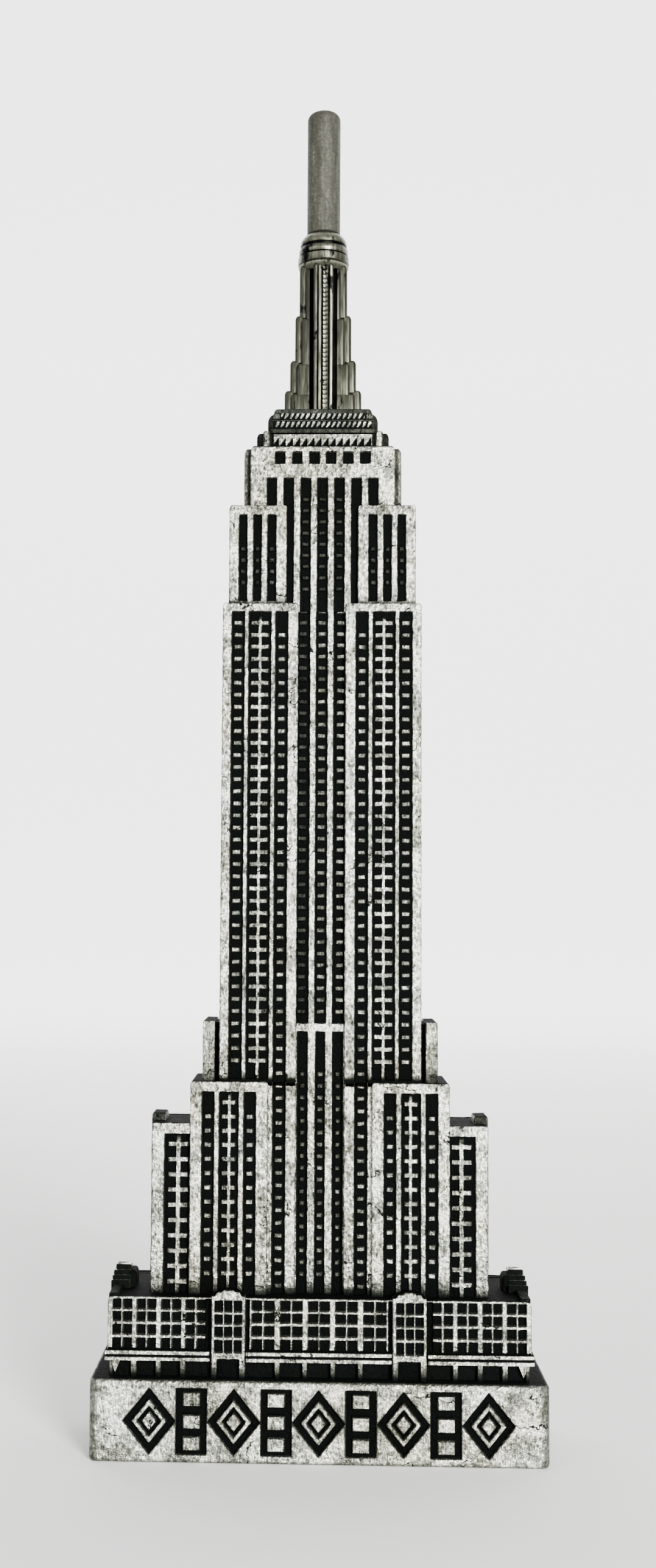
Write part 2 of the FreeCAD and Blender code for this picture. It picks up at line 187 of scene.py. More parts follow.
def column(low, high, bottom, top, deep=RELIEF_DEEP, bars=None, mullion=None, side=1):
    """A channel. Its height is minus its depth, times one minus how far a bar or the mullion fills it."""
    if side < 0:
        low, high = -high, -low
        mullion = mullion and (-mullion[1], -mullion[0])
    along, up = edge_lines(low, high), edge_lines(bottom, top)
    if bars:
        gap, half, pitch, count = bars["gap"], bars["half"], bars["pitch"], bars["count"]
        catch = bars["shine"] * chance.uniform(0.72, 1.0, count)
        lift = chance.uniform(0.76, 0.84, count)
        middles = bars["first"] - pitch * np.arange(count)
        along += edge_lines(low + gap, high - gap, soft=END_SOFT)
        up += [z for middle in middles for z in edge_lines(middle - half, middle + half, soft=BAR_SOFT)]
    if mullion:
        along += edge_lines(*mullion, soft=RIB_SOFT)

    def at(u, z):
        hole = inside(u, low, high) * inside(z, bottom, top)
        fill, shine = np.zeros_like(hole), np.zeros_like(hole)
        if bars:
            number = np.clip(np.rint((bars["first"] - z) / pitch), 0, count - 1).astype(int)
            bar = inside(z - middles[number], -half, half, BAR_SOFT)
            bar = bar * inside(u, low + gap, high - gap, END_SOFT)
            fill, shine = bar * lift[number], smooth(bar * 1.4 - 0.4) * catch[number]
        if mullion:
            rib = inside(u, *mullion, RIB_SOFT) * smooth((top - 0.45 - z) / 0.5)
            fill, shine = np.maximum(fill, rib * 0.86), np.maximum(shine, smooth(rib * 1.4 - 0.4))
        return -deep * hole * (1.0 - fill), 1.0 - smooth(hole * 3.0) * (1.0 - shine)

    return Relief(along, up, at)


def windows(columns, rows, deep=RELIEF_DEEP):
    """Square holes wherever one of the columns crosses one of the rows."""
    along = [line for low, high in columns for line in edge_lines(low, high, soft=HOLE_SOFT)]
    up = [line for low, high in rows for line in edge_lines(low, high, soft=HOLE_SOFT)]

    def at(u, z):
        across = sum(inside(u, low, high, HOLE_SOFT) for low, high in columns)
        hole = across * sum(inside(z, low, high, HOLE_SOFT) for low, high in rows)
        return -deep * hole, 1.0 - smooth(hole * 2.6)

    return Relief(along, up, at)


def groove(bottom, top, deep, shine):
    """A level line cut along the whole wall."""
    def at(u, z):
        cut = inside(z, bottom, top, GROOVE_SOFT)
        return -deep * cut, 1.0 - cut * (1.0 - shine)

    return Relief([], edge_lines(bottom, top, soft=GROOVE_SOFT), at)


# %% [markdown]
# Seen from above, a block is a rectangle with small round corners. A half casting is open at the parting
# plane, and a whole one is a closed loop. Both are made from straight runs and quarter turns, each point
# with its outward normal.

# %% The run round a block
EDGE_ROUND = 0.13
TURN_STEPS = 3
Run = namedtuple("Run", "face points normals along")


def straight(face, x, y, normal, along):
    """A straight run: x or y is the array along, and the other is one number."""
    points = np.column_stack(np.broadcast_arrays(x, y)).astype(float)
    return Run(face, points, np.tile(np.array(normal, float), (len(along), 1)), np.array(along))


def quarter(centre, corner, start_degrees):
    """The inner points of a quarter circle; the straight runs keep its end points."""
    angles = np.radians(start_degrees + 90.0 * np.arange(1, TURN_STEPS) / TURN_STEPS)
    normals = np.column_stack([np.cos(angles), np.sin(angles)])
    return Run("corner", np.array(centre) + corner * normals, normals, np.zeros(len(angles)))


def half_run(x0, x1, depth, corner, front, side):
    """From the parting plane along the left side, across the front and back along the right side."""
    back = side[::-1]
    return [straight("side", x0, -side, (-1, 0), side),
            quarter((x0 + corner, corner - depth), corner, 180),
            straight("front", front, -depth, (0, -1), front),
            quarter((x1 - corner, corner - depth), corner, 270),
            straight("side", x1, -back, (1, 0), back)]


def closed_run(x0, x1, y0, y1, corner, front, side):
    """Once round: front, right side, back, left side."""
    return [straight("front", front, y0, (0, -1), front),
            quarter((x1 - corner, y0 + corner), corner, 270),
            straight("side", x1, side, (1, 0), side),
            quarter((x1 - corner, y1 - corner), corner, 0),
            straight("front", front[::-1], y1, (0, 1), front[::-1]),
            quarter((x0 + corner, y1 - corner), corner, 90),
            straight("side", x0, side[::-1], (-1, 0), side[::-1]),
            quarter((x0 + corner, y0 + corner), corner, 180)]


# %% [markdown]
# The rows of a wall start at the bottom, follow every line the relief needs and end in a quarter circle,
# the soft top edge of a casting. The brush leaves the sides grey and fades out over the last edge. The foot
# of a wall that stands on a roof is darkened as painted shade, where the wall meets the roof.

# %% Rows of a wall
ROOF_SHINE = 0.08
SHINES = {"front": 1.0, "side": 0.5, "corner": 0.72}
Rows = namedtuple("Rows", "heights insets shine live")


def dull(shine):
    """The same shine on every face."""
    return dict.fromkeys(SHINES, shine)


def wall_rows(bottom, top, lines, crown=EDGE_ROUND, roof=ROOF_SHINE):
    """Height, inset, shine and whether the relief counts, for each row."""
    upright_part = distinct(lines, bottom, top - crown)
    angles = np.radians([30, 60, 90])
    heights = np.concatenate([upright_part, top - crown + crown * np.sin(angles)])
    insets = np.concatenate([np.zeros(len(upright_part)), crown * (1 - np.cos(angles))])
    shine = np.concatenate([np.ones(len(upright_part)), [0.95, 0.5, roof]])
    return Rows(heights, insets, shine, np.ones(len(heights)))


def foot_rows(rows, lip, ceiling):
    """Adds the underside below a wall that starts at height 0: a rounded edge, a flat lip and a step up."""
    turn, radius = np.radians([0, 22.5, 45, 67.5]), 0.42
    keep = rows.heights > radius
    heights = np.concatenate([[ceiling, 0.1, 0.0], radius * (1 - np.cos(turn)), [radius], rows.heights[keep]])
    insets = np.concatenate([[lip, lip, lip - 0.1], radius * (1 - np.sin(turn)), [0.0], rows.insets[keep]])
    shine = np.concatenate([[0.1, 0.15, 0.5, 0.5, 0.6, 0.75, 0.9, 1.0], rows.shine[keep]])
    live = np.concatenate([np.zeros(8), rows.live[keep]])
    return Rows(heights, insets, shine, live)


def round_ends(middle, half, top, radius):
    """A wall's points, lowered near its two ends by the gap between a square corner and a quarter circle. The
    lowering fades to nothing two radii below the top."""
    def warp(points):
        over = np.clip((np.abs(points[..., 0] - middle) - half + radius) / radius, 0.0, 1.0)
        share = np.clip((points[..., 2] - top + 2.0 * radius) / (2.0 * radius), 0.0, 1.0)
        lowered = points.copy()
        lowered[..., 2] -= radius * (1.0 - np.sqrt(1.0 - 0.98 * over * over)) * share
        return lowered

    return warp


# %% [markdown]
# A casting collects walls, caps their ends and becomes one mesh. Beside the points it keeps one number for
# each of them, how far the brush has rubbed it, with painted shade at the foot of walls that stand on roofs,
# and stores it as the mesh attribute "worn" for the plating to read.

# %% A casting
class Casting:
    def __init__(self, name):
        self.name, self.points, self.worn, self.faces, self.count = name, [], [], [], 0

    def add_grid(self, points, worn, loop=False):
        """Rows go up and columns go round, so that faces look outwards. loop joins the last column to the
        first."""
        shape = points.shape[:-1]
        numbers = np.arange(self.count, self.count + int(np.prod(shape))).reshape(shape)
        self.points.append(points.reshape(-1, 3))
        self.worn.append(np.broadcast_to(worn, shape).reshape(-1))
        self.count += numbers.size
        across = np.concatenate([numbers, numbers[:, :1]], axis=1) if loop else numbers
        quads = np.stack([across[:-1, :-1], across[:-1, 1:], across[1:, 1:], across[1:, :-1]], axis=-1)
        self.faces += quads.reshape(-1, 4).tolist()
        return numbers

    def add_cap(self, ring):
        self.faces.append(ring.tolist())

    def add_wall(self, runs, rows, reliefs, closed, shines=None, fade=None, warp=None):
        """Lays a wall round a block. A point is the outline's point, moved in along its normal by the row's
        inset and by the deepest relief there. fade gives the two heights between which the worn value rises
        from 0
        to full: painted shade at the foot of a wall that stands on a roof."""
        shines = {**SHINES, **(shines or {})}
        columns, worn = [], []
        for run in runs:
            u, z = np.meshgrid(run.along, rows.heights)
            depth, shine = np.zeros_like(u), np.ones_like(u)
            for relief in reliefs.get(run.face, ()):
                one_depth, one_shine = relief.at(u, z)
                depth, shine = np.minimum(depth, one_depth), np.minimum(shine, one_shine)
            depth, shine = depth * rows.live[:, None], 1.0 - (1.0 - shine) * rows.live[:, None]
            flat = run.points + run.normals * (depth - rows.insets[:, None])[..., None]
            tall = np.broadcast_to(rows.heights[:, None, None], flat.shape[:2] + (1,))
            columns.append(np.concatenate([flat, tall], axis=-1))
            worn.append(shine * shines[run.face] * rows.shine[:, None])
        points, worn = np.concatenate(columns, axis=1), np.concatenate(worn, axis=1)
        if fade:
            worn = worn * smooth((rows.heights - fade[0]) / (fade[1] - fade[0]))[:, None]
        if warp:
            points = warp(points)
        numbers = self.add_grid(points, worn, loop=closed)
        self.add_cap(numbers[-1])
        self.add_cap(numbers[0, ::-1])
        if not closed:
            seam = np.stack([numbers[:-1, -1], numbers[:-1, 0], numbers[1:, 0], numbers[1:, -1]], axis=-1)
            self.faces += seam.tolist()

    def lay(self, make_run, outline, bottom, top, front=(), side=(), corner=EDGE_ROUND, crown=EDGE_ROUND,
            foot=None, roof=ROOF_SHINE, ends=0.0, **more):
        """Finds the grid lines for the reliefs, and lays the wall along them. ends rounds the two top corners
        that the front shows, by that radius."""
        steps = ends * np.array([0.05, 0.2, 0.45, 0.8, 1.2]) if ends else np.array([])
        lines = [a for relief in front for a in relief.along] + [*(outline[0] + steps), *(outline[1] - steps)]
        front_lines = distinct(lines, outline[0] + corner, outline[1] - corner)
        side_low = 0.0 if make_run is half_run else outline[2] + corner
        side_high = (outline[2] if make_run is half_run else outline[3]) - corner
        side_lines = distinct([a for relief in side for a in relief.along], side_low, side_high)
        ups = [z for relief in (*front, *side) for z in relief.up]
        rows = wall_rows(bottom, top, ups, crown, roof)
        rows = foot_rows(rows, *foot) if foot else rows
        runs = make_run(*outline, corner, front_lines, side_lines)
        if ends:
            more["warp"] = round_ends((outline[0] + outline[1]) / 2, (outline[1] - outline[0]) / 2, top, ends)
        self.add_wall(runs, rows, {"front": front, "side": side}, make_run is closed_run, **more)

    def half_block(self, x0, x1, depth, bottom, top, **more):
        """A block of the front half casting, closed by the parting plane."""
        self.lay(half_run, (x0, x1, depth), bottom, top, **more)

    def block(self, x0, x1, y0, y1, bottom, top, **more):
        """A block that stands free on all four sides."""
        self.lay(closed_run, (x0, x1, y0, y1), bottom, top, **more)

    def turn(self, profile, segments=96):
        """A surface of revolution about the middle line, from (radius, height, shine) going up."""
        radius, height, shine = np.array(profile, float).T
        angles = np.linspace(0.0, 2.0 * np.pi, segments, endpoint=False)
        points = np.stack([radius[:, None] * np.cos(angles), radius[:, None] * np.sin(angles),
                           np.broadcast_to(height[:, None], (len(height), segments))], axis=-1)
        numbers = self.add_grid(points, np.broadcast_to(shine[:, None], points.shape[:2]), loop=True)
        self.add_cap(numbers[-1])
        self.add_cap(numbers[0, ::-1])

    def prism(self, outline, y0, y1, shine):
        """A small solid from an (x, z) outline that runs anticlockwise seen from the front."""
        ring = np.array([[(x, y, z) for x, z in outline] for y in (y1, y0)])
        numbers = self.add_grid(ring, np.full(ring.shape[:2], shine), loop=True)
        self.add_cap(numbers[-1])
        self.add_cap(numbers[0, ::-1])

    def wobble(self, amount=0.035):
        """Cast edges are never quite straight: two sine waves shift each point sideways, and two more up."""
        for points in self.points:
            x, y, z = points.T.copy()
            points[:, 0] += amount * (np.sin(2.9 * z + 1.3 * x) + np.sin(5.3 * z - 2.1 * x + 1.0)) * 0.5
            points[:, 2] += amount * (np.sin(3.7 * x + 0.9 * z) + np.sin(6.1 * x + 2.3 * z + 2.0)) * 0.5

    def swap_front_and_rear(self):
        """Mirrors everything through the parting plane, and turns the faces so that they look outwards."""
        self.points = [points * (1.0, -1.0, 1.0) for points in self.points]
        self.faces = [face[::-1] for face in self.faces]

    def finish(self, node, slot, sharp_degrees=38.0):
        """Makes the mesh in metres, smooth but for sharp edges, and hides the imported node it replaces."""
        mesh = bpy.data.meshes.new(self.name)
        mesh.from_pydata((np.concatenate(self.points) * MM).tolist(), [], self.faces)
        mesh.polygons.foreach_set("use_smooth", [True] * len(mesh.polygons))
        mesh.set_sharp_from_angle(angle=math.radians(sharp_degrees))
        worn = mesh.attributes.new("worn", "FLOAT", "POINT")
        worn.data.foreach_set("value", np.concatenate(self.worn).astype(np.float32))
        mesh.update()
        piece = put(self.name, mesh)
        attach(piece, BODY)
        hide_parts(node)
        print(self.name, "points", self.count, "triangles", sum(len(face) - 2 for face in self.faces))


# %% [markdown]
# ## The tower
# The tower is cast as two half shells that meet at mid depth. Each half is a cluster of blocks, from the
# low outer wings to the block under the crown, and every block has its own rhythm of storeys. The halves
# are alike, so the rear one is the front one mirrored. The sides carry shallower columns and the parting
# line.

# %% Blocks of the tower
FOOT = PODIUM_TOP - 0.4
# The heights over which the foot of a wall on the podium roof is darkened: painted shade where the wall meets
# the roof.
FOOT_SHADE_FADE = (PODIUM_TOP + 0.15, PODIUM_TOP + 1.0)
SHALLOW = 0.3


def parting_groove(u, z):
    """A fine groove within a tenth of a millimetre of the parting plane."""
    return -0.07 * (1.0 - smooth(u / 0.1)), 1.0 - 0.7 * (u < 0.06)


parting_line = Relief([0.0, 0.05, 0.1], [], parting_groove)


def outer_wing(side):
    bars = storeys(33.66, 1.68, 10, half=0.27, gap=0.42)
    return [column(14.25, 17.36, FOOT, 34.8, bars=bars, mullion=(15.53, 16.05), side=side)]


def inner_wing(side):
    first, pitch, top = 36.8, 1.57, 39.53
    return [column(7.15, 8.5, FOOT, top, bars=storeys(first, pitch, 12, half=0.25, gap=0.3), side=side),
            column(9.1, 11.25, FOOT, top, bars=storeys(first + pitch, pitch, 13, half=0.25, gap=0.3),
                   mullion=(9.92, 10.3), side=side),
            column(11.82, 13.18, FOOT, top, bars=storeys(first, pitch, 12, half=0.25, gap=0.3), side=side)]


SHAFT_FIRST, SHAFT_PITCH = 92.68, 1.3805


def shaft(side):
    return [column(3.87, 5.3, 40.0, 94.0, side=side,
                   bars=storeys(SHAFT_FIRST - SHAFT_PITCH, SHAFT_PITCH, 38, gap=0.3, shine=0.85)),
            column(5.81, 8.36, 40.95, 94.0, side=side, mullion=(6.88, 7.25),
                   bars=storeys(SHAFT_FIRST, SHAFT_PITCH, 37, half=0.25, gap=0.24)),
            column(8.84, 10.3, 40.95, 94.0, side=side,
                   bars=storeys(SHAFT_FIRST, SHAFT_PITCH, 37, gap=0.26, shine=0.9))]


def shaft_foot(side):
    first = SHAFT_FIRST - 37 * SHAFT_PITCH
    return [column(3.87, 5.3, FOOT, 42.0, side=side,
                   bars=storeys(first, SHAFT_PITCH, 18, gap=0.3, shine=0.85))]


def shoulder(side):
    return [column(low, high, 95.25, 105.27, side=side, bars=storeys(101.3, 1.302, 4, gap=0.22, shine=0.3))
            for low, high in ((5.3, 6.3), (7.0, 7.92), (8.62, 9.57))]


CENTRE_FIRST, CENTRE_PITCH = 107.1, 1.302


def centre(first, count, bottom, top, half, inner, outer, shines):
    """The middle channel and the two beside it."""
    lanes = ((-outer, -inner, 0.32), (-half, half, 0.2), (inner, outer, 0.34))
    return [column(low, high, bottom, top, bars=storeys(first, CENTRE_PITCH, count, gap=gap, shine=shine))
            for (low, high, gap), shine in zip(lanes, shines)]


def top_block():
    low, high = 94.0, 109.6
    slots = [column(-0.6, 0.6, low, high, bars=storeys(CENTRE_FIRST, CENTRE_PITCH, 9, half=0.2, shine=0.32))]
    for side in (-1, 1):
        slots += [column(1.36, 2.52, low, high, side=side,
                         bars=storeys(CENTRE_FIRST, CENTRE_PITCH, 9, half=0.2, shine=0.3)),
                  column(3.3, 4.48, low, high, side=side), column(5.28, 6.4, low, high, side=side)]
    middles = [side * middle for side in (-1, 1) for middle in (0.95, 2.94, 4.9)]
    return slots + [windows([(middle - 0.56, middle + 0.56) for middle in middles], [(111.3, 112.66)])]


def side_columns(places, bottom, top, first, pitch):
    """Shallow columns on a side wall, measured from the parting plane, with bars only where there is room."""
    count = int((first - bottom) / pitch)
    bars = storeys(first, pitch, count, shine=0.8) if count > 0 else None
    return [parting_line] + [column(low, high, bottom, top, deep=SHALLOW, bars=bars) for low, high in places]


# %% Both halves of the tower
def tower_half(name, node, rear=False):
    tower = Casting(name)
    # Every fade darkens the foot of a block where it stands on a roof: painted shade.
    tower.half_block(-3.2, 3.2, 3.85, FOOT, 46.75, fade=FOOT_SHADE_FADE,
                     front=centre(41.5, 18, FOOT, 46.26, 0.54, 1.4, 2.58, (0.5, 0.6, 0.6)))
    tower.half_block(-3.2, 3.2, 3.85, 46.6, 94.02, crown=0.02,
                     front=centre(CENTRE_FIRST, 46, 47.2, 97.0, 0.65, 1.36, 2.95, (0.3, 0.62, 0.75)))
    tower.half_block(-4.9, 4.9, 3.9, 94.0, 106.42, front=top_block(), crown=0.02)
    tower.half_block(-8.3, 8.3, 3.9, 106.4, TOWER_TOP + 0.2, front=top_block(), ends=0.5, crown=0.35)
    tower.half_block(-9.1, 9.1, 2.9, 94.0, TOWER_TOP + 0.1, corner=0.5, crown=0.35, ends=0.4,
                     shines={"front": 0.3},
                     side=side_columns([(0.5, 1.5)], 107.0, 111.8, 107.0, 1.3))
    for side in (-1, 1):
        def block(low, high, *sizes, **more):
            tower.half_block(*((low, high) if side > 0 else (-high, -low)), *sizes, **more)

        block(13.6, 18.75, 4.6, FOOT, 36.0, front=outer_wing(side), fade=FOOT_SHADE_FADE, ends=0.3,
              side=side_columns([(2.35, 3.7)], 18.8, 34.8, 33.66, 1.68))
        block(17.4, 19.05, 1.9, FOOT, 36.8, crown=0.3, shines={"front": 0.3},
              side=side_columns([(0.35, 1.35)], 18.8, 35.4, 33.66, 1.68))
        block(5.8, 14.5, 4.9, FOOT, 40.7, front=inner_wing(side), fade=FOOT_SHADE_FADE, ends=0.35, crown=0.2,
              side=side_columns([(3.0, 4.2)], 37.0, 39.5, 37.0, 1.57))
        block(10.6, 12.2, 2.9, 40.0, 47.2, shines={"front": 0.1})
        block(11.86, 13.2, 3.95, 40.0, 47.4, fade=(41.0, 42.2), shines={"front": 0.85},
              side=side_columns([(0.5, 1.6), (2.2, 3.2)], 42.0, 46.6, 42.0, 1.4))
        block(2.69, 11.35, 4.3, 40.2, 95.0, front=shaft(side), fade=(40.75, 41.6), ends=0.35, crown=0.2,
              side=side_columns([(0.45, 1.55), (2.3, 3.4)], 48.6, 93.6, SHAFT_FIRST, SHAFT_PITCH))
        block(2.69, 6.4, 4.3, FOOT, 40.7, front=shaft_foot(side), fade=FOOT_SHADE_FADE)
        block(4.08, 10.7, 4.1, 94.5, 106.4, front=shoulder(side), fade=(94.9, 95.5), ends=0.35, crown=0.2,
              side=side_columns([(0.6, 1.7), (2.4, 3.3)], 96.0, 105.3, 96.0, 1.3))
    tower.wobble()
    if rear:
        tower.swap_front_and_rear()
    tower.finish(node, "antique_silver")


tower_half("tower_front_casting", "tower_front")
tower_half("tower_rear_casting", "tower_rear", rear=True)

# %% [markdown]
# ## The podium
# Under the tower is a broad podium: a shop storey set back in shadow behind small posts, a cornice of two
# rails, and four rows of square windows in pairs. Two pavilions with scalloped tops stand a little proud on
# each front, and a stepped gable in the middle of each side.

# %% Podium sizes
WALL_Y, WALL_X = 7.2, 23.2
CORNICE_LOW, CORNICE_HIGH = PODIUM_FOOT + 1.85, PODIUM_FOOT + 2.9
PAVILION_MIDDLE, PAVILION_HALF, PAVILION_EAVES = 9.9, 1.86, 17.65
POSTS = [(1.24, 1.8), (4.27, 4.83), (14.6, 15.2), (17.3, 17.9), (19.95, 20.6), (22.55, 22.95)]
# The heights over which the posts and pavilions are darkened at their foot: painted shade where they meet the
# plinth.
POST_SHADE_FADE = (8.85, 9.2)
ROWS_Z = [(16.06, 17.11), (14.75, 15.73), (13.31, 14.36), (11.6, 12.92)]
PAIRS = [(0.1, 1.16), (1.83, 2.9), (3.15, 4.2), (4.9, 6.0), (6.26, 7.33), (12.45, 13.35), (13.67, 14.6),
         (15.15, 16.08), (16.37, 17.28), (17.9, 18.8), (19.05, 19.97), (20.55, 21.5), (21.75, 22.6)]


def both_ways(spans):
    return [(-high, -low) for low, high in spans] + list(spans)


def scallop(points):
    """Lifts the top of a pavilion: two soft steps, higher in the middle."""
    base = PAVILION_EAVES - 0.4
    away = np.abs(np.abs(points[..., 0]) - PAVILION_MIDDLE)
    rise = 0.42 * smooth((1.5 - away) / 0.3) + 0.23 * smooth((0.8 - away) / 0.3)
    part = np.clip((points[..., 2] - base) / (PAVILION_EAVES - base), 0.0, 1.0)
    lifted = points.copy()
    lifted[..., 2] += rise * part
    return lifted


def no_relief(u, z):
    """Flat and fully bright everywhere. It only asks for grid lines, which the scalloped tops need."""
    return np.zeros_like(u), np.ones_like(u)


# %% The podium casting
podium = Casting("podium_casting")
podium.block(-22.5, 22.5, -6.5, 6.5, PODIUM_FOOT, 11.4, shines=dull(0.04))
behind_pavilions = [column(7.62, 12.42, 10.8, 17.22, deep=0.6, side=side) for side in (-1, 1)]
podium.block(-WALL_X, WALL_X, -WALL_Y, WALL_Y, 11.0, PODIUM_TOP,
             front=[windows(both_ways(PAIRS), ROWS_Z), groove(11.0, 11.86, deep=0.45, shine=0.0),
                    *behind_pavilions],
             ends=0.5,
             side=[windows(both_ways([(2.75, 3.6), (3.95, 4.8), (5.45, 6.3)]), ROWS_Z)])
for low, high in ((-8.0, 8.0), (PAVILION_MIDDLE + 2.0, CORNICE_X), (-CORNICE_X, -PAVILION_MIDDLE - 2.0)):
    podium.block(low, high, -WALL_Y - 0.2, WALL_Y + 0.2, CORNICE_LOW, CORNICE_HIGH - 0.1,
                 shines=dull(0.0))
    for bottom in (CORNICE_LOW, CORNICE_HIGH - 0.38):
        podium.block(low, high, -WALL_Y - 0.5, WALL_Y + 0.5, bottom, bottom + 0.38, crown=0.12)
# The posts are darkened at their foot: painted shade where they meet the plinth.
for low, high in both_ways(POSTS):
    podium.block(low, high, -WALL_Y, WALL_Y, PODIUM_FOOT, CORNICE_LOW + 0.1, fade=POST_SHADE_FADE)
print("podium blocks", len(podium.points))

# %% Pavilions, doors, brackets and gables
GABLE_STEPS = ((2.2, 0.0, 18.1), (1.8, 0.12, 18.55), (1.35, 0.24, 19.05), (0.9, 0.4, 19.6))
pavilion_columns = [(8.45, 9.25), (9.52, 10.32), (10.55, 11.38)]
pavilion_rows = [(15.95, 17.13), (14.64, 15.62), (13.27, 14.31), (11.57, 12.88)]
for low, high in both_ways([(PAVILION_MIDDLE - PAVILION_HALF, PAVILION_MIDDLE + PAVILION_HALF)]):
    ways = pavilion_columns if low > 0 else [(-b, -a) for a, b in pavilion_columns]
    doorway = column(low + 0.66, high - 0.7, 8.0, 10.85, deep=0.9)
    scallop_lines = Relief(list(np.arange(low, high, 0.12)), [17.0, 17.2, 17.4], no_relief)
    for face in (-1, 1):
        depth = sorted((face * (WALL_Y + 0.4), face * (WALL_Y - 1.2)))
        # The pavilion's foot is darkened: painted shade where it meets the plinth.
        podium.block(low, high, *depth, PODIUM_FOOT, PAVILION_EAVES, warp=scallop,
                     front=[windows(ways, pavilion_rows), doorway, scallop_lines], fade=POST_SHADE_FADE)
for side in (-1, 1):
    for face in (-1, 1):
        y0, y1 = sorted((face * WALL_Y, face * (WALL_Y - 0.8)))
        bracket = [(21.7, 10.7), (22.3, 9.25), (22.9, 10.7)]
        outline = bracket if side > 0 else [(-x, z) for x, z in bracket[::-1]]
        podium.prism(outline, y0, y1, 0.9)
    shoulder_x = sorted((side * 20.6, side * 21.6))
    podium.block(*shoulder_x, -1.5, 1.5, 17.0, 19.1, ends=0.45, crown=0.3, corner=0.3, shines=dull(0.05))
    parapet_x = sorted((side * 22.0, side * (WALL_X - 0.05)))
    podium.block(*parapet_x, -6.9, 6.9, 17.0, PODIUM_TOP + 0.28, corner=0.3, crown=0.2, roof=1.4,
                 shines=dull(0.12))
    for half_y, out, top in GABLE_STEPS:
        flutes = windows([(y - 0.22, y + 0.22) for y in np.arange(-3, 4) * 0.6 if abs(y) < half_y - 0.3],
                         [(11.9, top - 0.35)], deep=0.25)
        x0, x1 = sorted((side * 21.25, side * (CORNICE_X - out)))
        podium.block(x0, x1, -half_y, half_y, 11.2, top, crown=0.14, corner=0.2, side=[flutes], roof=3.0,
                     shines={"front": 0.1, "side": 0.7, "corner": 0.16})
podium.wobble(0.025)
podium.finish("podium", "antique_silver")

# %% [markdown]
# ## The plinth
# The plinth is one hollow casting with thick rounded edges. On both fronts it carries a row of raised
# figures, each in its own dark moat: lozenges between stacks of three bars. A figure's outline is a
# distance: negative inside, zero on the edge and growing outside, so the moat is simply where the distance
# is small.

# %% Figures on the plinth
FIGURE_Z, LOZENGE_X, LOZENGE_Z, LOZENGE_PITCH = 4.4, 2.85, 3.5, 9.2
BAR_X, BAR_HALF_Z, BAR_PITCH, MOAT = 0.95, 0.75, 2.35, 0.7
FIGURE_GRID = 0.12


def lozenge_distance(u, z):
    """|u|/a + |z|/b - 1 grows evenly away from the edge; the factor turns it into millimetres."""
    scale = LOZENGE_X * LOZENGE_Z / math.hypot(LOZENGE_X, LOZENGE_Z)
    return (np.abs(u) / LOZENGE_X + np.abs(z) / LOZENGE_Z - 1.0) * scale


def box_distance(u, z, half_u, half_z):
    """The farther of the two overhangs inside, and the straight distance to the corner outside."""
    du, dz = np.abs(u) - half_u, np.abs(z) - half_z
    return np.hypot(np.maximum(du, 0.0), np.maximum(dz, 0.0)) + np.minimum(np.maximum(du, dz), 0.0)


def plinth_relief():
    reach = 2.5 * LOZENGE_PITCH

    def at(u, z):
        z = z - FIGURE_Z
        folded = (u + LOZENGE_PITCH / 2) % LOZENGE_PITCH - LOZENGE_PITCH / 2
        between = u % LOZENGE_PITCH - LOZENGE_PITCH / 2
        lozenge = lozenge_distance(folded, z)
        ring = inside(lozenge, -MOAT, 0.0, 0.2) + inside(lozenge, -MOAT - 0.85, -MOAT - 0.5, 0.16)
        panel = smooth(0.5 - box_distance(between, z, BAR_X + MOAT, LOZENGE_Z) / 0.2)
        bars = np.minimum.reduce([box_distance(between, z - step * BAR_PITCH, BAR_X, BAR_HALF_Z)
                                  for step in (-1, 0, 1)])
        stack = panel * smooth(0.5 + bars / 0.2) * (np.abs(u) < 2.0 * LOZENGE_PITCH)
        cut = np.clip(ring + stack, 0.0, 1.0) * (np.abs(u) < reach - 1.4)
        return -RELIEF_DEEP * cut, 1.0 - smooth(cut * 1.8)

    return Relief(list(np.arange(-reach, reach, FIGURE_GRID)), list(np.arange(0.6, 8.2, FIGURE_GRID)), at)


plinth = Casting("plinth_casting")
lip, plate_seat = PLINTH_X - PAD_X - 0.04, 1.62
plinth.block(-PLINTH_X, PLINTH_X, -PLINTH_Y, PLINTH_Y, 0.0, PLINTH_TOP, corner=1.0, crown=0.45,
             front=[plinth_relief()], foot=(lip, plate_seat),
             shines={"front": 0.96, "side": 0.7, "corner": 0.62})
plinth.finish("plinth", "antique_silver")

pad = Casting("felt_pad")
pad.block(-PAD_X, PAD_X, -PAD_Y, PAD_Y, 0.0, PAD_TOP, corner=0.6, crown=0.2)
pad.finish("base_pad", "felt")

# %% [markdown]
# ## The crown
# The crown is three low steps. Each carries a band of teeth, pressed with a lean, so that the light catches
# one flank of every tooth. A saw wave along the wall gives each tooth's dark notch, which grows taller to
# one side.

# %% Bands of teeth
def teeth(low, high, bottom, top, pitch, rise, wide, slit=0.0, deep=0.35):
    """A band with notches from below. Within each pitch the notch's top climbs from 0 to the share rise of
    the band's height over the share wide of the pitch, then drops. A leaning slit may cut the whole band."""
    grid = list(np.arange(low, high, pitch / 9.0))

    def at(u, z):
        up = (z - bottom) / (top - bottom)
        place = (u / pitch) % 1.0
        notch = smooth((rise * place / wide - up) * (top - bottom) / 0.14 + 0.5) * (place < wide + 0.03)
        lean = (u / pitch - 0.4 * up + 0.1) % 1.0
        cut = np.maximum(notch, inside(lean, 0.5 - slit / 2, 0.5 + slit / 2, 0.14) * (slit > 0.0))
        return -deep * cut, 1.0 - smooth(cut * 1.6)

    return Relief(grid, list(np.arange(bottom, top, 0.08)), at)


crown = Casting("crown_casting")
BAND_1, BAND_2, BAND_3 = (116.76, 117.42), (115.76, 116.44), (113.5, 114.86)
bright = {"front": 0.86, "side": 0.25, "corner": 0.25}

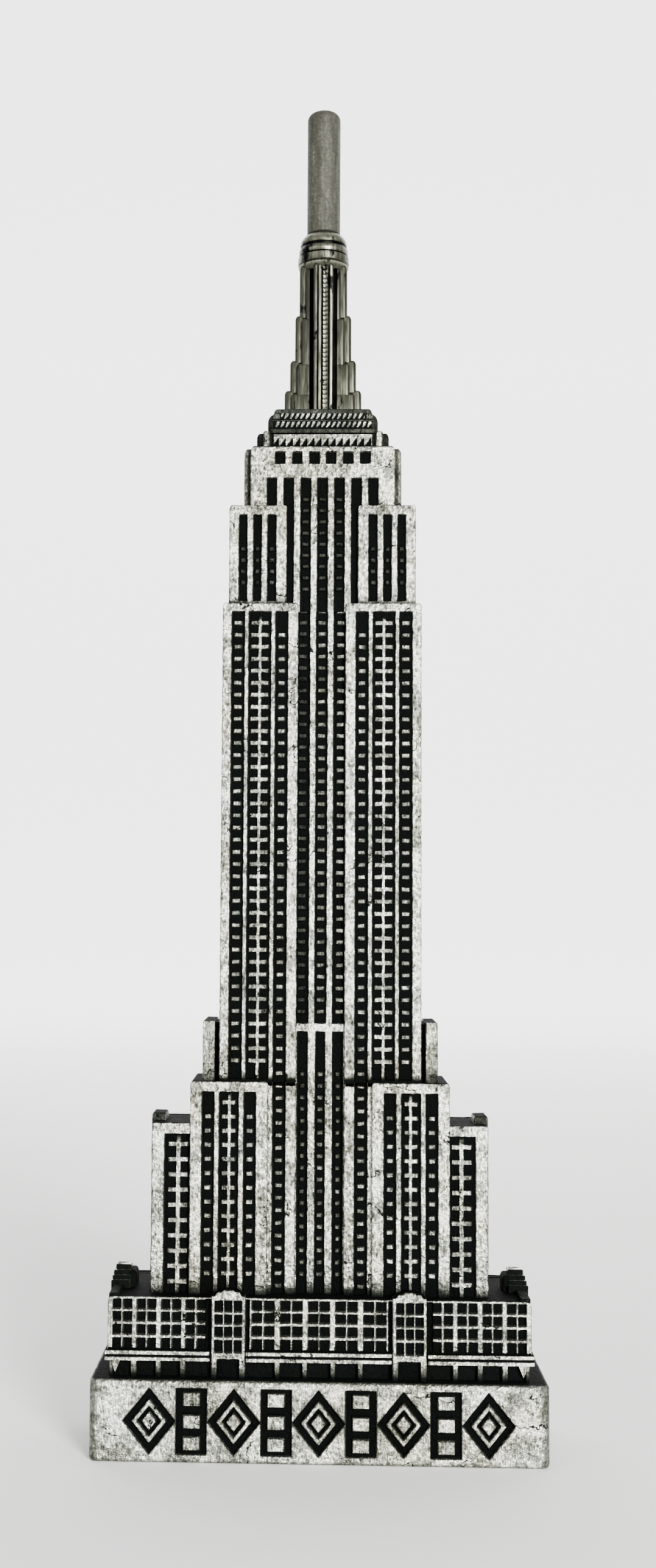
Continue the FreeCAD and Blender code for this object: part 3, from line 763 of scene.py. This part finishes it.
# %% Steps of the crown
crown.block(-CROWN_X, CROWN_X, -3.05, 3.05, 112.9, 115.1, corner=0.5, crown=0.3, shines=dull(0.16), ends=0.4)
crown.block(-5.75, 5.75, -CROWN_Y, CROWN_Y, *BAND_3, front=[teeth(-5.7, 5.7, *BAND_3, 0.82, 0.68, 0.78)],
            shines=bright, crown=0.1)
crown.block(-CROWN_X + 0.05, CROWN_X - 0.05, -2.4, 2.4, *BAND_3, shines=dull(0.2),
            side=[teeth(-2.3, 2.3, *BAND_3, 0.82, 0.68, 0.78)])
for low, high in both_ways([(6.05, 6.95)]):
    crown.block(low, high, -CROWN_Y + 0.05, CROWN_Y - 0.05, 112.9, 115.3, corner=0.25, crown=0.25, ends=0.3,
                shines={"front": 0.95, "side": 0.15, "corner": 0.4})
crown.block(-5.95, 5.95, -3.3, 3.3, 115.06, 115.54, crown=0.12, corner=0.3, shines=dull(0.3))
crown.block(-6.4, 6.4, -2.7, 2.7, 115.0, 117.45, corner=0.8, crown=0.4, ends=0.7, shines=dull(0.2))
crown.block(-5.75, 5.75, -2.9, 2.9, 115.0, 117.45, crown=0.1, shines=dull(0.03))
crown.block(-5.6, 5.7, -3.15, 3.15, *BAND_2, front=[teeth(-5.5, 5.6, *BAND_2, 0.59, 0.75, 0.62, slit=0.32)],
            shines=bright, crown=0.08)
crown.block(-5.9, 5.9, -3.02, 3.02, 116.54, 116.66, crown=0.05, shines=dull(0.35))
crown.block(-4.9, 4.9, -3.12, 3.12, *BAND_1, front=[teeth(-4.8, 4.8, *BAND_1, 0.61, 0.75, 0.62, slit=0.32)],
            shines=bright, crown=0.08)
for low, high in both_ways([(4.95, 5.8)]):
    crown.block(low, high, -3.1, 3.1, *BAND_1, corner=0.2, crown=0.2, shines=dull(0.4))
crown.block(-5.7, 5.7, -2.95, 2.95, 117.44, CROWN_TOP, corner=0.6, crown=0.22, ends=0.35, shines=dull(0.3))
crown.finish("crown_cap", "antique_silver")

# %% [markdown]
# ## The mast and its rod
# The mast is polished gunmetal plate rather than brushed silver. Four plates of falling width make its
# stepped outline, a thicker web stands in front of them, and a ribbed pilaster runs up the middle between
# two black channels. Above the last step the collars are turned on a lathe, so they are a profile carried
# round the middle.

# %% The mast
STEPS = ((4.5, CROWN_TOP, 120.62), (3.87, 120.0, 124.21), (3.3, 123.6, 129.57), (2.8, 129.0, 135.6))
mast = Casting("mast_casting")
channels = [column(1.2, 1.55, CROWN_TOP - 1.0, 136.0, deep=0.4, side=side) for side in (-1, 1)]
for half, low, high in STEPS:
    web = half - 0.75
    mast.block(-half, half, -1.5, 1.5, low - 0.1, high, corner=0.4, crown=0.3, ends=0.4,
               shines={"front": 0.82, "side": 0.6})
    mast.block(-web, web, -2.05, 2.05, low - 0.1, high - 0.5, corner=0.35, crown=0.3, ends=0.4,
               front=channels, shines={"front": 0.74, "side": 0.75})


def ribs(u, z):
    """Grooves between the ribs, and a row of small beads down the widest one."""
    cut = inside(u, -0.72, -0.58, 0.1) + inside(u, -0.22, -0.08, 0.1) + inside(u, 0.58, 0.72, 0.1)
    beads = 0.5 + 0.5 * np.cos(2.0 * np.pi * z / 0.55)
    strip = inside(u, -0.04, 0.54, 0.12)
    return -0.28 * cut - 0.1 * strip * beads, 1.0 - np.clip(cut, 0, 1) * 0.9 - 0.25 * strip * beads


rib_lines = edge_lines(-0.72, -0.58, -0.22, -0.08, -0.04, 0.54, 0.58, 0.72, soft=0.1)
mast.block(-1.18, 1.18, -2.75, 2.75, CROWN_TOP - 0.1, 135.4, corner=0.2, crown=0.3,
           front=[Relief(rib_lines, list(np.arange(CROWN_TOP, 135.2, 0.1375)), ribs)],
           shines={"front": 0.95, "side": 0.3, "corner": 0.45})
mast.turn([(2.5, 135.0, 0.6), (2.72, 135.4, 0.7), (2.9, 135.54, 0.9), (2.98, 135.68, 1.0), (2.9, 135.83, 0.8),
           (2.86, 135.9, 0.5), (3.0, 136.0, 0.8), (3.01, 136.4, 0.9), (3.0, 136.78, 0.9), (2.9, 136.87, 0.5),
           (2.72, 136.9, 0.1), (2.72, 137.0, 0.1), (2.84, 137.05, 0.8), (2.9, 137.3, 1.0), (2.88, 137.7, 0.9),
           (2.78, 137.83, 0.6), (2.6, 137.86, 0.1), (2.6, 138.16, 0.1), (2.74, 138.22, 0.8),
           (2.75, 138.5, 1.0), (2.66, 138.8, 1.0), (2.48, 139.1, 0.9), (2.24, 139.35, 0.8), (2.0, 139.5, 0.7),
           (1.9, MAST_TOP, 0.1)])
mast.finish("mast", "gunmetal")

# %% The rod
TIP = 0.9
rod = Casting("antenna_rod_turned")
tip_angles = np.radians(np.arange(0.0, 91.0, 10.0))
tip = [(ROD_R - TIP + TIP * math.cos(a), ROD_TOP - TIP + TIP * math.sin(a), 1.0) for a in tip_angles]
joint = [(1.75, MAST_TOP - 0.05, 0.0), (1.82, MAST_TOP + 0.06, 0.2), (ROD_R, MAST_TOP + 0.16, 1.0)]
rod.turn(joint + [(ROD_R, z, 1.0) for z in np.arange(MAST_TOP + 1.0, ROD_TOP - TIP - 0.3, 1.0)] + tip)
rod.finish("antenna_rod", "rod_metal")

# %% [markdown]
# ## Finishes
# Every finish is one Principled shader fed by a few noises. Their sizes are given in millimetres: a noise
# of scale 1 has features about a metre wide here, so the scale is one over the size in metres. One small
# function adds any node, sets it, links it and gives back the output that the next node needs.

# %% Helpers for finishes
def colour(code):
    """sRGB hex to linear light: c / 12.92 below 0.04045, else (c + 0.055) / 1.055 to the power 2.4."""
    parts = [int(code[n:n + 2], 16) / 255 for n in (1, 3, 5)]
    return tuple(c / 12.92 if c <= 0.04045 else ((c + 0.055) / 1.055) ** 2.4 for c in parts) + (1.0,)


def per_mm(size):
    return 1.0 / (size * MM)


def new_finish(name):
    """A material with its tree, its shader and the place on the piece, by which patterns are drawn."""
    material = bpy.data.materials.new(name)
    material.use_nodes = True
    tree = material.node_tree
    return material, tree, tree.nodes["Principled BSDF"], add(tree, PLACE, output="Object")


def feed(tree, node, inputs):
    """Links the sockets among the values to a node's inputs, and sets the rest as constants."""
    for key, value in inputs.items():
        if isinstance(value, bpy.types.NodeSocket):
            tree.links.new(value, node.inputs[key])
        else:
            node.inputs[key].default_value = value


def add(tree, kind, settings=None, output=0, **inputs):
    """Adds one node and gives back one output. settings are its own properties, or the stops of a ramp as
    (place, grey or hex colour), the lowest and the highest first and then those between. inputs are values
    or sockets to link, named, or numbered as i0, i1 and so on."""
    node = tree.nodes.new(kind)
    for key, value in (settings or {}).items():
        if key != "stops":
            setattr(node, key, value)
            continue
        for number, (place, shade) in enumerate(value):
            points = node.color_ramp.elements
            stop = points[number] if number < 2 else points.new(place)
            stop.position = place
            stop.color = colour(shade) if isinstance(shade, str) else (shade, shade, shade, 1.0)
    feed(tree, node, {int(key[1:]) if key[1:].isdigit() else key.replace("_", " "): value
                      for key, value in inputs.items()})
    return node.outputs[output]


RAMP, NOISE = "ShaderNodeValToRGB", "ShaderNodeTexNoise"
MATHS, STRETCH = "ShaderNodeMath", "ShaderNodeMapping"
PLACE, ATTRIBUTE, BUMP = "ShaderNodeTexCoord", "ShaderNodeAttribute", "ShaderNodeBump"
SUM, TIMES, TIMES_SUM = {"operation": "ADD"}, {"operation": "MULTIPLY"}, {"operation": "MULTIPLY_ADD"}
WORN = {"attribute_name": "worn"}

# %% [markdown]
# Antique silver is a bright plate over zinc, dipped until it turns black and then brushed. What the eye
# sees is the brushing: light faces with a soft grain, small grey flecks where the brush skipped, grey
# flanks, and black in the recesses. The attribute "worn" says how far the brush reached, with painted shade
# at the foot of walls on roofs, and the noises nudge it so that no edge is perfect. The grain is drawn
# large enough to show from the camera.

# %% Antique silver plate
GRAIN_MM, BRUSH_MM, PATCH_MM, TARNISH_MM, PIT_MM, CRACK_MM = 0.42, 0.2, 2.4, 7.0, 1.5, 6.0
GRAIN_SPREAD, BRUSH_SPREAD, PATCH_SPREAD = 1.5, 1.0, 1.25
PLATE_LEVEL = 0.87 - 0.5 * (GRAIN_SPREAD + BRUSH_SPREAD + PATCH_SPREAD)


def antique_silver_plate():
    material, tree, shader, place = new_finish("antique silver plate, brushed")
    worn = add(tree, ATTRIBUTE, WORN, output="Fac")

    # How much of the plate each spot keeps: soft grain, upright brush marks and wider patches.
    grain = add(tree, NOISE, Vector=place, Scale=per_mm(GRAIN_MM), Detail=3.0, Roughness=0.6)
    upright_place = add(tree, STRETCH, Vector=place, Scale=(1.0, 1.0, 0.3))
    brush = add(tree, NOISE, Vector=upright_place, Scale=per_mm(BRUSH_MM), Detail=2.0)
    patch = add(tree, NOISE, Vector=place, Scale=per_mm(PATCH_MM), Detail=2.0)
    catch = add(tree, MATHS, TIMES_SUM, i0=grain, i1=GRAIN_SPREAD, i2=PLATE_LEVEL)
    catch = add(tree, MATHS, TIMES_SUM, i0=brush, i1=BRUSH_SPREAD, i2=catch)
    catch = add(tree, MATHS, TIMES_SUM, i0=patch, i1=PATCH_SPREAD, i2=catch)

    # Small pits, and a few hairline cracks that only show where a second noise lets them.
    pit = add(tree, "ShaderNodeTexVoronoi", Vector=place, Scale=per_mm(PIT_MM))
    pitted = add(tree, RAMP, {"stops": [(0.0, 0.55), (0.13, 1.0)]}, Fac=pit)
    wander = add(tree, NOISE, output="Color", Vector=place, Scale=per_mm(1.2), Detail=3.0)
    bent = add(tree, "ShaderNodeVectorMath", TIMES_SUM, i0=wander, i1=(2.0 * MM, 2.0 * MM, 2.0 * MM),
               i2=place)
    seam = add(tree, "ShaderNodeTexVoronoi", {"feature": "DISTANCE_TO_EDGE"}, Vector=bent,
               Scale=per_mm(CRACK_MM))
    line = add(tree, RAMP, {"stops": [(0.004, 0.1), (0.012, 1.0)]}, Fac=seam)
    region = add(tree, NOISE, Vector=place, Scale=per_mm(3.0), Detail=1.0)
    sound = add(tree, RAMP, {"stops": [(0.53, 1.0), (0.6, 0.0)]}, Fac=region)
    crack = add(tree, MATHS, {"operation": "MAXIMUM"}, i0=line, i1=sound)
    catch = add(tree, MATHS, TIMES, i0=catch, i1=pitted)
    catch = add(tree, MATHS, TIMES, i0=catch, i1=crack)
    reach = add(tree, MATHS, {"operation": "MULTIPLY", "use_clamp": True}, i0=worn, i1=catch)

    # Black bath at 0, bare plate at 1, with a warmer tarnish in wide patches.
    plate = add(tree, RAMP, {"stops": [(0.0, "#060807"), (1.0, "#EDEDE1"), (0.12, "#0E110F"),
                                       (0.3, "#343631"), (0.5, "#5D5F56"), (0.7, "#868880"),
                                       (0.88, "#B2B3A7")]}, Fac=reach)
    tarnish = add(tree, NOISE, Vector=place, Scale=per_mm(TARNISH_MM), Detail=3.0)
    warmth = add(tree, RAMP, {"stops": [(0.42, 0.0), (0.7, 0.45)]}, Fac=tarnish)
    plate = add(tree, "ShaderNodeMix", {"data_type": "RGBA", "blend_type": "MULTIPLY"}, output=2,
                i0=warmth, i6=plate, i7=colour("#D5CDB4"))
    bare = add(tree, RAMP, {"stops": [(0.1, 0.0), (0.45, 1.0)]}, Fac=reach)
    gloss = add(tree, RAMP, {"stops": [(0.1, 0.7), (0.95, 0.27), (0.5, 0.4)]}, Fac=reach)
    skin = add(tree, MATHS, TIMES_SUM, i0=pitted, i1=0.8, i2=grain)
    skin = add(tree, MATHS, TIMES_SUM, i0=brush, i1=0.35, i2=skin)
    skin = add(tree, BUMP, Height=skin, Strength=1.0, Distance=0.3 * MM)
    feed(tree, shader, {"Base Color": plate, "Metallic": bare, "Roughness": gloss, "Normal": skin,
                        "Specular IOR Level": 0.02})
    return material


# %% [markdown]
# The mast's gunmetal was never brushed: it is smooth and dark, with black where the bath has pooled. The
# rod is the same bath worn dull on bare zinc, a flat warm grey with a few bright rubbed streaks along its
# length.

# %% Gunmetal and rod
def gunmetal_plate():
    material, tree, shader, place = new_finish("gunmetal plate, polished")
    worn = add(tree, ATTRIBUTE, WORN, output="Fac")
    tall_place = add(tree, STRETCH, Vector=place, Scale=(1.0, 1.0, 0.45))
    pool = add(tree, NOISE, Vector=tall_place, Scale=per_mm(1.5), Detail=3.0, Roughness=0.55)
    thin_place = add(tree, STRETCH, Vector=place, Scale=(1.0, 1.0, 0.12))
    streak = add(tree, NOISE, Vector=thin_place, Scale=per_mm(0.3), Detail=2.0)
    free = add(tree, RAMP, {"stops": [(0.34, 0.1), (0.4, 1.0)]}, Fac=pool)
    reach = add(tree, MATHS, TIMES, i0=worn, i1=free)
    reach = add(tree, MATHS, TIMES_SUM, i0=streak, i1=0.36, i2=reach)
    reach = add(tree, MATHS, {"operation": "SUBTRACT", "use_clamp": True}, i0=reach, i1=0.18)
    plate = add(tree, RAMP, {"stops": [(0.0, "#040504"), (1.0, "#777869"), (0.3, "#191A17"), (0.6, "#37382F"),
                                       (0.8, "#4C4D42")]}, Fac=reach)
    gloss = add(tree, RAMP, {"stops": [(0.3, 0.26), (0.7, 0.4)]}, Fac=streak)
    skin = add(tree, MATHS, SUM, i0=streak, i1=pool)
    skin = add(tree, BUMP, Height=skin, Strength=0.4, Distance=0.06 * MM)
    feed(tree, shader, {"Base Color": plate, "Roughness": gloss, "Normal": skin, "Metallic": 0.9,
                        "Specular IOR Level": 0.15})
    return material


def dull_rod_metal():
    material, tree, shader, place = new_finish("zinc rod, worn dull")
    worn = add(tree, ATTRIBUTE, WORN, output="Fac")
    thin_place = add(tree, STRETCH, Vector=place, Scale=(1.0, 1.0, 0.15))
    streak = add(tree, NOISE, Vector=thin_place, Scale=per_mm(0.5), Detail=3.0)
    grain = add(tree, NOISE, Vector=place, Scale=per_mm(0.3), Detail=3.0, Roughness=0.6)
    tone = add(tree, MATHS, TIMES_SUM, i0=grain, i1=0.5, i2=-0.05)
    tone = add(tree, MATHS, TIMES_SUM, i0=streak, i1=0.6, i2=tone)
    plate = add(tree, RAMP, {"stops": [(0.3, "#2B2B24"), (0.85, "#A3A295"), (0.5, "#383830"),
                                       (0.66, "#4C4C42")]}, Fac=tone)
    plate = add(tree, "ShaderNodeMix", {"data_type": "RGBA"}, output=2, i0=worn, i6=colour("#101110"),
                i7=plate)
    gloss = add(tree, RAMP, {"stops": [(0.3, 0.68), (0.7, 0.5)]}, Fac=grain)
    skin = add(tree, BUMP, Height=tone, Strength=0.5, Distance=0.08 * MM)
    feed(tree, shader, {"Base Color": plate, "Roughness": gloss, "Normal": skin, "Metallic": 0.2,
                        "Specular IOR Level": 0.25})
    return material


# %% [markdown]
# Inside and underneath are plainer stuffs: zinc plated steel screws and pins, a brown fibreboard plate, and
# a black wool felt pad, whose fibres are drawn a little coarser than real ones so that they show.

# %% Steel, fibreboard and felt
def zinc_plated_steel():
    material, tree, shader, place = new_finish("steel, zinc plated")
    grain = add(tree, NOISE, Vector=place, Scale=per_mm(0.3), Detail=3.0)
    plate = add(tree, RAMP, {"stops": [(0.3, "#9FA3A6"), (0.7, "#C4C8CB")]}, Fac=grain)
    gloss = add(tree, RAMP, {"stops": [(0.3, 0.25), (0.7, 0.38)]}, Fac=grain)
    feed(tree, shader, {"Base Color": plate, "Roughness": gloss, "Metallic": 1.0})
    return material


def pressed_fibreboard():
    material, tree, shader, place = new_finish("fibreboard, pressed")
    long_place = add(tree, STRETCH, Vector=place, Scale=(0.3, 1.0, 1.0))
    fibre = add(tree, NOISE, Vector=long_place, Scale=per_mm(0.25), Detail=5.0, Roughness=0.7)
    board = add(tree, RAMP, {"stops": [(0.3, "#4E3926"), (0.7, "#8A6B4A")]}, Fac=fibre)
    skin = add(tree, BUMP, Height=fibre, Strength=0.4, Distance=0.05 * MM)
    feed(tree, shader, {"Base Color": board, "Normal": skin, "Roughness": 0.85})
    return material


def wool_felt():
    material, tree, shader, place = new_finish("wool felt, black")
    long_place = add(tree, STRETCH, Vector=place, Scale=(1.0, 0.25, 1.0))
    wide_place = add(tree, STRETCH, Vector=place, Scale=(0.25, 1.0, 1.0))
    long_fibre = add(tree, NOISE, Vector=long_place, Scale=per_mm(0.18), Detail=6.0, Roughness=0.75)
    cross_fibre = add(tree, NOISE, Vector=wide_place, Scale=per_mm(0.18), Detail=6.0, Roughness=0.75)
    fibre = add(tree, MATHS, {"operation": "MAXIMUM"}, i0=long_fibre, i1=cross_fibre)
    wool = add(tree, RAMP, {"stops": [(0.4, "#131413"), (0.75, "#3B3D3A")]}, Fac=fibre)
    skin = add(tree, BUMP, Height=fibre, Strength=0.8, Distance=0.08 * MM)
    feed(tree, shader, {"Base Color": wool, "Normal": skin, "Roughness": 0.95, "Sheen Weight": 0.4})
    return material


# %% Give every piece its finish
silver, gunmetal, rod_metal = antique_silver_plate(), gunmetal_plate(), dull_rod_metal()
steel, fibreboard, felt = zinc_plated_steel(), pressed_fibreboard(), wool_felt()
finishes = {"tower_front_casting": silver, "tower_rear_casting": silver, "podium_casting": silver,
            "plinth_casting": silver, "crown_casting": silver, "mast_casting": gunmetal,
            "antenna_rod_turned": rod_metal, "felt_pad": felt, "base_plate": fibreboard,
            "locating_pins": steel, "plinth_screws": steel, "tower_screws": steel}
for name, finish in finishes.items():
    piece = frame["nodes"].get(name) or bpy.data.objects[name]
    piece.data.materials.clear()
    piece.data.materials.append(finish)
print("finishes", len(finishes))

# %% [markdown]
# ## The studio
# A pale sweep, a nearly white room and three soft boxes: polished metal only looks as good as what it
# reflects.

# %% Floor and lights
FLOOR_HALF, SWEEP_BACK, SWEEP_R, SWEEP_TOP = 2.0, 1.2, 0.5, 2.2
turns = np.linspace(0.0, np.pi / 2, 13)
sweep_y = np.concatenate([[-FLOOR_HALF], SWEEP_BACK - SWEEP_R + SWEEP_R * np.sin(turns), [SWEEP_BACK]])
sweep_z = np.concatenate([[0.0], SWEEP_R - SWEEP_R * np.cos(turns), [SWEEP_TOP]])
sweep = [(x, y, z) for y, z in zip(sweep_y, sweep_z) for x in (-FLOOR_HALF, FLOOR_HALF)]
strips = [[2 * n, 2 * n + 1, 2 * n + 3, 2 * n + 2] for n in range(len(sweep_y) - 1)]
floor_mesh = bpy.data.meshes.new("floor")
floor_mesh.from_pydata(sweep, [], strips)
floor_mesh.polygons.foreach_set("use_smooth", [True] * len(strips))
floor = put("floor", floor_mesh)
paper, paper_tree, paper_shader, paper_place = new_finish("paper sweep, matt white")
paper_depth = add(paper_tree, "ShaderNodeSeparateXYZ", output="Y", Vector=paper_place)
paper_glow = add(paper_tree, RAMP, {"stops": [(0.0, 0.0), (0.8, 1.0)]}, Fac=paper_depth)
feed(paper_tree, paper_shader, {"Base Color": colour("#F4F4F2"), "Roughness": 0.9,
                                "Emission Color": paper_glow, "Emission Strength": 2.6})
floor_mesh.materials.append(paper)

world = bpy.data.worlds.new("studio")
world.use_nodes = True
feed(world.node_tree, world.node_tree.nodes["Background"], {"Color": colour("#F6F7F8"), "Strength": 0.42})
bpy.context.scene.world = world


def soft_box(name, place, aim, width, height, watts):
    """An area light that looks at its aim: its -Z axis points along the line from its place to the aim."""
    light = bpy.data.lights.new(name, "AREA")
    light.shape, light.size, light.size_y, light.energy = "RECTANGLE", width, height, watts
    back = np.array(place, float) - np.array(aim, float)
    back /= np.linalg.norm(back)
    across = np.cross([0, 0, 1], back)
    across /= np.linalg.norm(across)
    put(name, light).matrix_world = turned(np.column_stack([across, np.cross(back, across), back]), place)


MIDDLE = (0.0, 0.0, 0.075)
soft_box("key", (0.24, -0.60, 0.20), MIDDLE, 0.16, 0.22, 12.0)
soft_box("fill", (-0.45, -0.45, 0.30), MIDDLE, 0.2, 0.4, 0.8)
soft_box("top", (0.0, 0.10, 0.6), MIDDLE, 0.5, 0.4, 1.0)
